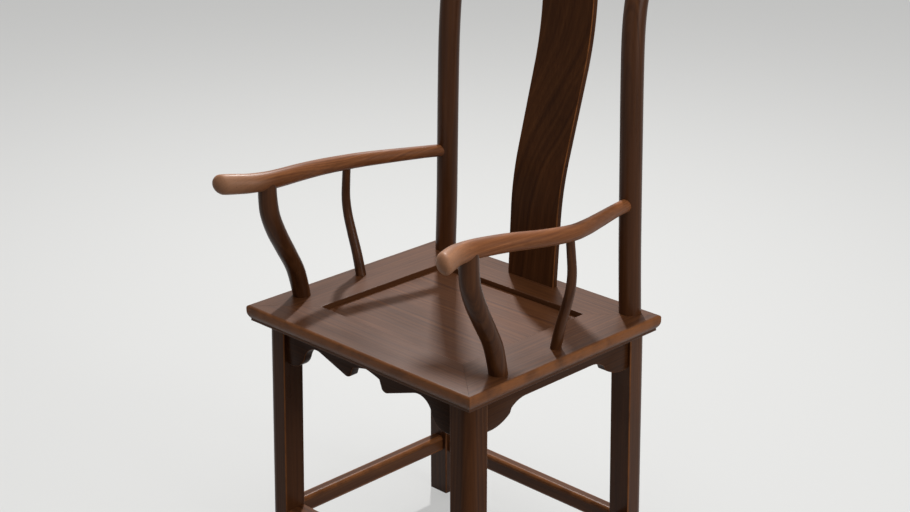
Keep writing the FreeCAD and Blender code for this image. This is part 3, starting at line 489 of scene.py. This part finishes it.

# the grain runs along the timber, and the shift gives each timber a figure of its own. The tone factor is
# painted light and shade: each timber is made brighter or darker to match how lit or shaded it stands,
# darker on the aprons under the seat and on the splat, lighter on the arms, where it also stands for wear.
woodFinishes = {
    "crestWood": {"along": "x", "shift": (0.07, 0.02, 0.0), "lift": 1.2},
    "armWood": {"along": "y", "shift": (0.11, -0.04, 0.0), "ringSpacing": 0.004, "lift": 2.15,
                "polish": 0.40, "gripAt": (-0.20, -0.31)},
    "postWood": {"along": "z", "shift": (0.03, 0.05, 0.0), "lift": 0.85},
    "splatWood": {"along": "z", "shift": (-0.09, 0.21, 0.0), "ringSpacing": 0.007, "waviness": 0.030,
                  "lift": 0.80, "polish": 0.36, "shine": 0.08},
    "railWoodX": {"along": "x", "shift": (0.02, 0.13, 0.0), "polish": 0.40, "bump": 0.08},
    "railWoodY": {"along": "y", "shift": (0.05, 0.09, 0.0), "polish": 0.40, "bump": 0.08},
    "panelWood": {"along": "x", "shift": (-0.12, 0.33, 0.0), "ringSpacing": 0.008, "waviness": 0.035,
                  "lift": 1.05, "polish": 0.42, "bump": 0.08},
    "apronWoodX": {"along": "x", "shift": (0.19, -0.11, 0.0), "lift": 0.5, "shine": 0.05},
    "apronWoodY": {"along": "y", "shift": (0.23, -0.17, 0.0), "lift": 0.62, "shine": 0.08},
    "legWood": {"along": "z", "shift": (-0.07, 0.12, 0.0), "lift": 0.90, "shine": 0.10},
    "stretcherWoodX": {"along": "x", "shift": (-0.05, 0.17, 0.0), "lift": 1.25},
    "stretcherWoodY": {"along": "y", "shift": (-0.13, 0.04, 0.0), "lift": 1.3},
}

polishSettings = {
    "deepAt": 0.30,
    "bodyAt": 0.52,
    "warmAt": 0.72,
    "mottleFrom": 0.3,
    "mottleTo": 0.7,
    "toneSpread": (0.80, 1.20),
    "roughSpread": (0.85, 1.20),
    "rubbedAndLitShare": 0.65,
    "heldAndLitShare": 0.7,
    "poreDark": 0.7,
    "poreRough": 0.2,
    "relief": 0.0004,
    "ior": 1.42,
}


def spreadMottle(tree, mottle, low, high):
    # turns the slow mottle of the wood into a range of tones or of roughness
    limits = {
        "Value": mottle,
        "From Min": polishSettings["mottleFrom"],
        "From Max": polishSettings["mottleTo"],
        "To Min": low,
        "To Max": high,
    }
    return addNode(tree, "ShaderNodeMapRange", limits).outputs["Result"]


def makeWood(name):
    settings = plainFinish | woodFinishes[name]
    finish = bpy.data.materials.new(name)
    finish.use_nodes = True
    tree = finish.node_tree
    shader = tree.nodes["Principled BSDF"]
    where = addNode(tree, "ShaderNodeTexCoord").outputs["Object"]
    turned = addNode(
        tree,
        "ShaderNodeMapping",
        {"Vector": where, "Location": settings["shift"], "Rotation": grainTurns[settings["along"]]},
    ).outputs[0]
    grain = addNode(
        tree,
        "ShaderNodeGroup",
        {
            "Vector": turned,
            "Ring Spacing": settings["ringSpacing"],
            "Waviness": settings["waviness"],
            "Pore Share": settings["poreShare"],
        },
        node_tree=grainGroup,
    ).outputs
    ramp = addNode(tree, "ShaderNodeValToRGB", {"Fac": grain["Tone"]})
    stops = ramp.color_ramp.elements
    stops[0].position = polishSettings["deepAt"]
    stops[0].color = woodColours["deep"]
    stops[1].position = polishSettings["warmAt"]
    stops[1].color = woodColours["warm"]
    stops.new(polishSettings["bodyAt"]).color = woodColours["body"]
    low, high = polishSettings["toneSpread"]
    # painted light and shade: the timber's tone factor scales its colour, together with the random mottle
    shade = spreadMottle(tree, grain["Mottle"], low * settings["lift"], high * settings["lift"])
    base = scaleVector(tree, ramp.outputs["Color"], shade)
    if settings["gripAt"]:
        # hands wear the ends of the arms pale, and a painted highlight lightens them further
        forward = addNode(tree, "ShaderNodeSeparateXYZ", {0: where}).outputs["Y"]
        heldAndLit = addNode(
            tree,
            "ShaderNodeMapRange",
            {
                "Value": forward,
                "From Min": settings["gripAt"][0],
                "From Max": settings["gripAt"][1],
                "To Max": polishSettings["heldAndLitShare"],
            },
            interpolation_type="SMOOTHSTEP",
        ).outputs["Result"]
        base = mixColour(tree, heldAndLit, base, woodColours["handledAndLit"])
    arris = addNode(tree, "ShaderNodeAttribute", attribute_name="wear").outputs["Fac"]
    rubbedAndLit = addNode(tree, "ShaderNodeGroup", {"Vector": where, "Arris": arris}, node_tree=wearAndHighlightGroup)
    # the arris mask lightens the edges: partly real wear, partly a painted highlight
    wornAndLit = doMath(tree, "MULTIPLY", rubbedAndLit.outputs["RubbedAndLit"], polishSettings["rubbedAndLitShare"])
    base = mixColour(tree, wornAndLit, base, woodColours["rubbedAndLit"])
    dark = doMath(tree, "MULTIPLY", grain["Pores"], polishSettings["poreDark"])
    base = mixColour(tree, dark, base, woodColours["deep"])
    tree.links.new(base, shader.inputs["Base Color"])
    low, high = polishSettings["roughSpread"]
    rough = spreadMottle(tree, grain["Mottle"], low * settings["polish"], high * settings["polish"])
    dull = doMath(tree, "MULTIPLY", grain["Pores"], polishSettings["poreRough"])
    tree.links.new(doMath(tree, "ADD", rough, dull), shader.inputs["Roughness"])
    relief = addNode(
        tree,
        "ShaderNodeBump",
        {"Strength": settings["bump"], "Distance": polishSettings["relief"], "Height": grain["Height"]},
    ).outputs["Normal"]
    tree.links.new(relief, shader.inputs["Normal"])
    shader.inputs["IOR"].default_value = polishSettings["ior"]
    shader.inputs["Specular IOR Level"].default_value = settings["shine"]
    return finish


wood = {name: makeWood(name) for name in woodFinishes}
print("wood finishes made")


def dress(piece, node):
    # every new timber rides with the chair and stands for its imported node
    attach(piece, "root")
    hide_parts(node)
    return piece


circle = roundSection()

# Crest rail
crestSettings = {"endLength": 0.0105, "endShare": 0.9, "rows": 200, "crowding": 0.97}


def makeCrest():
    reach = crestSettings["endLength"]
    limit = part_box("crest_rail")[1].x - reach * crestSettings["endShare"]
    rings = [ring for ring in ringsOf("crest_rail", 0, 1, 2) if abs(ring[0][0]) < limit]
    start = roundEnd(rings[0], rings[1], 0, reach)
    end = roundEnd(rings[-1], rings[-2], 0, reach)
    piece = carryTimber("crestRail", start[::-1] + rings + end, circle, wood["crestWood"], (0, 1, 0),
                        (0, 0, 1), crestSettings["rows"], crestSettings["crowding"])
    dress(piece, "crest_rail")


# Arms
armSettings = {"endLength": 0.0133, "endShare": 0.9, "rows": 180, "crowding": 0.97}


def makeArm(label):
    node = "armrest_" + label
    reach = armSettings["endLength"]
    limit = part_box(node)[0].y + reach * armSettings["endShare"]
    rings = [ring for ring in ringsOf(node, 1, 0, 2) if ring[0][1] > limit]
    joint = middleOf(levelsOf(node, 1)[-1])
    grip = roundEnd(rings[0], rings[1], 1, reach)
    stations = grip[::-1] + rings + [(joint, rings[-1][1])]
    piece = carryTimber("arm_" + label, stations, circle, wood["armWood"], (1, 0, 0), (0, 0, 1),
                        armSettings["rows"], armSettings["crowding"])
    dress(piece, node)


# Goosenecks and side posts
supportSettings = {"rows": 90, "sink": 0.001, "headShare": 0.96}
supportNames = {"gooseneck": "swanSupport_", "side_post": "thinSupport_"}


def ringsOverSeat(node):
    # the rings of an upright timber from the seat frame's top upwards
    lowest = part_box("seat_rail_back")[1].z - readSettings["seatSlack"]
    return [ring for ring in ringsOf(node, 2, 0, 1) if ring[0][2] > lowest]


def makeSupport(kind, label):
    node = "%s_%s" % (kind, label)
    rings = ringsOverSeat(node)
    foot = list(rings[0][0])
    foot[2] -= supportSettings["sink"]
    head = middleOf(levelsOf(node, 2)[-1])
    headSize = [part * supportSettings["headShare"] for part in rings[-1][1]]
    stations = [(foot, rings[0][1])] + rings[1:] + [(head, headSize)]
    piece = carryTimber(supportNames[kind] + label, stations, circle, wood["postWood"], (1, 0, 0),
                        (0, 1, 0), supportSettings["rows"])
    dress(piece, node)


# Legs and back posts
legSettings = {"outerRound": 0.019, "arris": 0.0022, "rows": 24}
postSettings = {"rows": 150, "sink": 0.012, "headShare": 0.86, "headDrop": 0.009}


def legStations(node, top):
    # half the leg's thickness, and its middle at the floor and under the frame
    levels = levelsOf(node, 2)
    floor = levels[0]
    head = min(levels, key=lambda group: abs(group[0][2] - top))
    half = (max(corner[0] for corner in floor) - min(corner[0] for corner in floor)) / 2
    return half, [(middleOf(floor), (1.0, 1.0)), (middleOf(head), (1.0, 1.0))]


def makeLeg(node, name, side, front, top, finish):
    half, stations = legStations(node, top)
    radii = [legSettings["arris"]] * 4
    radii[{(-1, -1): 0, (1, -1): 1, (1, 1): 2, (-1, 1): 3}[(side, front)]] = legSettings["outerRound"]
    section = easedSection(name + "Section", half, half, radii)
    return carryTimber(name, stations, section, finish, (1, 0, 0), (0, 1, 0), legSettings["rows"])


def joinPieces(first, second):
    work = bmesh.new()
    work.from_mesh(first.data)
    work.from_mesh(second.data)
    work.to_mesh(first.data)
    work.free()
    bpy.data.objects.remove(second)
    return first


def makeBackPost(label, side):
    node = "back_post_" + label
    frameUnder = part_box("seat_rail_back")[0].z
    leg = makeLeg(node, "backPost_" + label, side, 1, frameUnder, wood["postWood"])
    rings = ringsOverSeat(node)
    foot = list(rings[0][0])
    foot[2] -= postSettings["sink"]
    head = middleOf(levelsOf(node, 2)[-1])
    head[2] -= postSettings["headDrop"]
    headSize = [part * postSettings["headShare"] for part in rings[-1][1]]
    stations = [(foot, rings[0][1])] + rings + [(head, headSize)]
    shaft = carryTimber(node + "Shaft", stations, circle, wood["postWood"], (1, 0, 0), (0, 1, 0),
                        postSettings["rows"])
    dress(joinPieces(leg, shaft), node)


def makeFrontLeg(label, side):
    node = "front_leg_" + label
    leg = makeLeg(node, "frontLeg_" + label, side, -1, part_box("seat_rail_front")[0].z, wood["legWood"])
    dress(leg, node)


# Splat
splatSettings = {"arris": 0.0018, "spacing": 0.006, "rows": 160}


def makeSplat():
    levels = levelsOf("back_splat", 2)
    halfFoot = max(corner[0] for corner in levels[0])
    thick = max(corner[1] for corner in levels[0]) - min(corner[1] for corner in levels[0])
    stations = []
    for group in levels:
        level = group[0][2]
        if stations and level - stations[-1][0][2] < splatSettings["spacing"] and group is not levels[-1]:
            continue
        depth = (min(corner[1] for corner in group) + max(corner[1] for corner in group)) / 2
        half = max(abs(corner[0]) for corner in group)
        stations.append(((0.0, depth, level), (half / halfFoot, 1.0)))
    section = easedSection("splatSection", halfFoot, thick / 2, [splatSettings["arris"]] * 4)
    piece = carryTimber("splat", stations, section, wood["splatWood"], (1, 0, 0), (0, 1, 0),
                        splatSettings["rows"])
    dress(piece, "back_splat")


# Seat frame
railSettings = {
    "topRound": 0.005,
    "inner": 0.0012,
    "sweep": 0.014,
    "undercut": 0.006,
    "lip": 0.005,
    "lipRound": 0.0008,
    "rubAndHighlightDepth": 0.0045,
    "seam": 0.0002,
    "rows": 40,
}


def railSection(name, width, thick):
    # from the inner face under the rail to its moulded edge: a small lip, a full sweep, a rounded top
    outer = width / 2
    top = thick / 2
    crown = railSettings["topRound"]
    inner = railSettings["inner"]
    small = railSettings["lipRound"]
    lip = outer - railSettings["undercut"]
    sweepLow = -top + railSettings["lip"]
    bow = (railSettings["undercut"] ** 2 + railSettings["sweep"] ** 2) / (2 * railSettings["undercut"])
    turn = math.degrees(math.asin(railSettings["sweep"] / bow))
    points = []
    for middle, radius, start, end, steps in (
        ((-outer + inner, top - inner), inner, 90, 180, 3),
        ((-outer + inner, -top + inner), inner, 180, 270, 3),
        ((lip - small, -top + small), small, -90, 0, 3),
        ((outer - bow, sweepLow + railSettings["sweep"]), bow, -turn, 0, 8),
        ((outer - crown, top - crown), crown, 0, 90, 8),
    ):
        points += arcPoints(middle, radius, start, end, steps)[0]
    # hands and robes rub the edge most where it stands furthest out, and the same band is lightened as a
    # painted highlight
    wear = [min(1.0, max(0.0, 1 - (outer - point[0]) / railSettings["rubAndHighlightDepth"])) for point in points]
    return keepSection(name, points, wear)


def makeRail(label):
    node = "seat_rail_" + label
    low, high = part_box(node)
    whole = [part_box("seat_rail_right")[0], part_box("seat_rail_left")[1]]
    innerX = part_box("seat_rail_left")[0].x
    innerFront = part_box("seat_rail_front")[1].y
    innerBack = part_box("seat_rail_back")[0].y
    widths = {
        "front": innerFront - whole[0].y,
        "back": whole[1].y - innerBack,
        "left": whole[1].x - innerX,
        "right": whole[1].x - innerX,
    }
    width = widths[label]
    section = railSection(label + "RailSection", width, high.z - low.z)
    seam = railSettings["seam"]
    centreX = (low.x + high.x) / 2
    centreY = (low.y + high.y) / 2
    level = (low.z + high.z) / 2
    if label in ("front", "back"):
        # across points outwards, so its cross product with up gives the way that the path runs
        outward = Vector((0, -1 if label == "front" else 1, 0))
        slope = widths["left"] / width
        run = outward.cross(Vector((0, 0, 1)))
        reach = (whole[1].x + innerX) / 2 - seam
        ends = [Vector((0, centreY, level)) - run * reach, Vector((0, centreY, level)) + run * reach]
        mitres = (-slope, slope)
    else:
        outward = Vector((1 if label == "left" else -1, 0, 0))
        run = outward.cross(Vector((0, 0, 1)))
        frontEnd = (whole[0].y + innerFront) / 2 + seam
        backEnd = (whole[1].y + innerBack) / 2 - seam
        ends = [Vector((centreX, frontEnd, level)), Vector((centreX, backEnd, level))]
        mitres = (-widths["front"] / width, widths["back"] / width)
        if run.y < 0:
            ends = ends[::-1]
            mitres = (-widths["back"] / width, widths["front"] / width)
    finish = wood["railWoodX" if label in ("front", "back") else "railWoodY"]
    stations = [(end, (1.0, 1.0)) for end in ends]
    piece = carryTimber(label + "Rail", stations, section, finish, outward, (0, 0, 1), railSettings["rows"],
                        mitres=mitres)
    dress(piece, node)


# Stretchers and the footrest
stretcherSettings = {"round": 0.008, "footRound": 0.009, "arris": 0.002, "rows": 16}


def makeStretcher(label):
    node = "stretcher_" + label
    low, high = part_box(node)
    centre = (low + high) / 2
    radii = [stretcherSettings["round"]] * 4
    if label == "front":
        radii = [stretcherSettings["footRound"], stretcherSettings["arris"]]
        radii += [stretcherSettings["arris"], stretcherSettings["footRound"]]
    if label in ("left", "right"):
        section = easedSection(label + "BarSection", (high.x - low.x) / 2, (high.z - low.z) / 2, radii)
        ends = [(centre.x, low.y, centre.z), (centre.x, high.y, centre.z)]
        across = (1, 0, 0)
        finish = wood["stretcherWoodY"]
    else:
        section = easedSection(label + "BarSection", (high.y - low.y) / 2, (high.z - low.z) / 2, radii)
        ends = [(low.x, centre.y, centre.z), (high.x, centre.y, centre.z)]
        across = (0, 1, 0)
        finish = wood["stretcherWoodX"]
    stations = [(end, (1.0, 1.0)) for end in ends]
    piece = carryTimber(label + "Stretcher", stations, section, finish, across, (0, 0, 1),
                        stretcherSettings["rows"])
    dress(piece, node)


# Aprons: the sawn boards with their edges eased
apronSettings = {"ease": 0.0012, "segments": 3, "easeFrom": 30, "flatWithin": 1}


def easeBoard(node, name, finish):
    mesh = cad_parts[node].data.copy()
    mesh.name = name
    piece = bpy.data.objects.new(name, mesh)
    bpy.context.scene.collection.objects.link(piece)
    work = bmesh.new()
    work.from_mesh(mesh)
    bmesh.ops.remove_doubles(work, verts=work.verts, dist=meshSettings["weld"])
    flat = math.radians(apronSettings["flatWithin"])
    bmesh.ops.dissolve_limit(work, angle_limit=flat, verts=work.verts, edges=work.edges)
    sharp = math.radians(apronSettings["easeFrom"])
    edges = [edge for edge in work.edges if len(edge.link_faces) == 2 and edge.calc_face_angle() > sharp]
    made = bmesh.ops.bevel(
        work,
        geom=edges,
        offset=apronSettings["ease"],
        segments=apronSettings["segments"],
        profile=0.5,
        affect="EDGES",
        clamp_overlap=True,
    )
    # the eased faces take the arris mask: rubbed wear and a painted highlight
    eased = set(made["faces"])
    layer = work.verts.layers.float.new("wear")
    for corner in work.verts:
        corner[layer] = 1.0 if all(face in eased for face in corner.link_faces) else 0.0
    bmesh.ops.triangulate(work, faces=[face for face in work.faces if len(face.verts) > 4])
    for face in work.faces:
        face.smooth = True
    work.to_mesh(mesh)
    work.free()
    mesh.set_sharp_from_angle(angle=math.radians(meshSettings["crispFrom"]))
    mesh.materials.clear()
    mesh.materials.append(finish)
    dress(piece, node)


makeCrest()
for label, side in (("left", 1), ("right", -1)):
    makeArm(label)
    makeSupport("gooseneck", label)
    makeSupport("side_post", label)
    makeBackPost(label, side)
    makeFrontLeg(label, side)
makeSplat()
for label in ("front", "back", "left", "right"):
    makeRail(label)
    makeStretcher(label)
for node, name, finish in (
    ("front_apron", "frontApron", "apronWoodX"),
    ("back_apron", "backApron", "apronWoodX"),
    ("side_apron_left", "leftApron", "apronWoodY"),
    ("side_apron_right", "rightApron", "apronWoodY"),
    ("footrest_apron", "footrestApron", "apronWoodX"),
):
    easeBoard(node, name, wood[finish])
for section in sectionObjects:
    bpy.data.objects.remove(section)
print("timbers shaped")


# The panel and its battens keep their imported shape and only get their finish
def finishNode(node, finish):
    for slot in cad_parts[node].material_slots:
        slot.link = "OBJECT"
        slot.material = finish


finishNode("seat_panel", wood["panelWood"])
for label in ("left", "right"):
    finishNode("seat_batten_" + label, wood["apronWoodY"])
print("panel and battens finished")


# Floor
floorSettings = {
    "reach": 60.0,
    "pale": (0.24, 0.24, 0.235, 1.0),
    "bounce": (0.16, 0.15, 0.14, 1.0),
    "glowColour": (0.80, 0.80, 0.79, 1.0),
    "glow": 0.55,
    "roughness": 0.8,
}


def showsBackground(tree):
    # 1 where the camera sees the background, also in a reflection or through glass
    path = addNode(tree, "ShaderNodeLightPath")
    mirrored = doMath(tree, "MAXIMUM", path.outputs["Is Glossy Ray"], path.outputs["Is Transmission Ray"])
    return doMath(tree, "MAXIMUM", path.outputs["Is Camera Ray"], mirrored)


def makeFloor():
    half = floorSettings["reach"]
    mesh = bpy.data.meshes.new("floor")
    corners = [(-half, -half, 0), (half, -half, 0), (half, half, 0), (-half, half, 0)]
    mesh.from_pydata(corners, [], [(0, 1, 2, 3)])
    floor = bpy.data.objects.new("floor", mesh)
    bpy.context.scene.collection.objects.link(floor)
    finish = bpy.data.materials.new("paleFloor")
    finish.use_nodes = True
    tree = finish.node_tree
    shader = tree.nodes["Principled BSDF"]
    seen = showsBackground(tree)
    colour = mixColour(tree, seen, floorSettings["bounce"], floorSettings["pale"])
    tree.links.new(colour, shader.inputs["Base Color"])
    glow = doMath(tree, "MULTIPLY", seen, floorSettings["glow"])
    tree.links.new(glow, shader.inputs["Emission Strength"])
    shader.inputs["Emission Color"].default_value = floorSettings["glowColour"]
    shader.inputs["Roughness"].default_value = floorSettings["roughness"]
    mesh.materials.append(finish)


makeFloor()


# Light
lamps = {
    "highPanel": {"place": (-1.7, 1.7, 3.3), "size": (0.16, 0.16), "power": 128.0},
    "topPanel": {"place": (0.3, -0.3, 3.4), "size": (2.8, 2.8), "power": 58.0},
    "sidePanel": {"place": (3.2, 0.2, 1.8), "size": (2.0, 2.0), "power": 58.0},
    "frontPanel": {"place": (1.0, -3.4, 1.2), "size": (2.4, 2.4), "power": 6.0},
}
skySettings = {"colour": (1.0, 1.0, 0.985, 1.0), "ambient": 0.08, "seen": 0.56}
lightAim = Vector((0.0, 0.0, 0.55))


def makeLights():
    for name, settings in lamps.items():
        light = bpy.data.lights.new(name, "AREA")
        light.shape = "RECTANGLE"
        light.size, light.size_y = settings["size"]
        light.energy = settings["power"]
        lamp = bpy.data.objects.new(name, light)
        lamp.visible_camera = False
        lamp.location = settings["place"]
        lamp.rotation_euler = (lightAim - lamp.location).to_track_quat("-Z", "Y").to_euler()
        bpy.context.scene.collection.objects.link(lamp)
    sky = bpy.data.worlds.new("studioSky")
    bpy.context.scene.world = sky
    sky.use_nodes = True
    tree = sky.node_tree
    back = tree.nodes["Background"]
    seen = showsBackground(tree)
    strength = addNode(tree, "ShaderNodeMapRange",
                       {"Value": seen, "To Min": skySettings["ambient"], "To Max": skySettings["seen"]})
    tree.links.new(strength.outputs["Result"], back.inputs["Strength"])
    back.inputs["Color"].default_value = skySettings["colour"]


makeLights()
print("floor and lamps placed")


# Camera at the photograph's place
cameraSettings = {
    "azimuth": 44.67,
    "elevation": 20.75,
    "distance": 3.295,
    "aim": (-0.0207, 0.0187, 0.6140),
    "lens": 73.05,
}


def makeCamera():
    azimuth = math.radians(cameraSettings["azimuth"])
    elevation = math.radians(cameraSettings["elevation"])
    back = Vector((
        math.sin(azimuth) * math.cos(elevation),
        -math.cos(azimuth) * math.cos(elevation),
        math.sin(elevation),
    ))
    lens = bpy.data.cameras.new("photoCamera")
    lens.lens = cameraSettings["lens"]
    lens.sensor_fit = "HORIZONTAL"
    camera = bpy.data.objects.new("photoCamera", lens)
    camera.location = Vector(cameraSettings["aim"]) + back * cameraSettings["distance"]
    camera.rotation_euler = back.to_track_quat("Z", "Y").to_euler()
    bpy.context.scene.collection.objects.link(camera)
    bpy.context.scene.camera = camera


makeCamera()
print("camera placed")
bpy.context.scene.view_settings.view_transform = "Standard"

print("chair dressed")
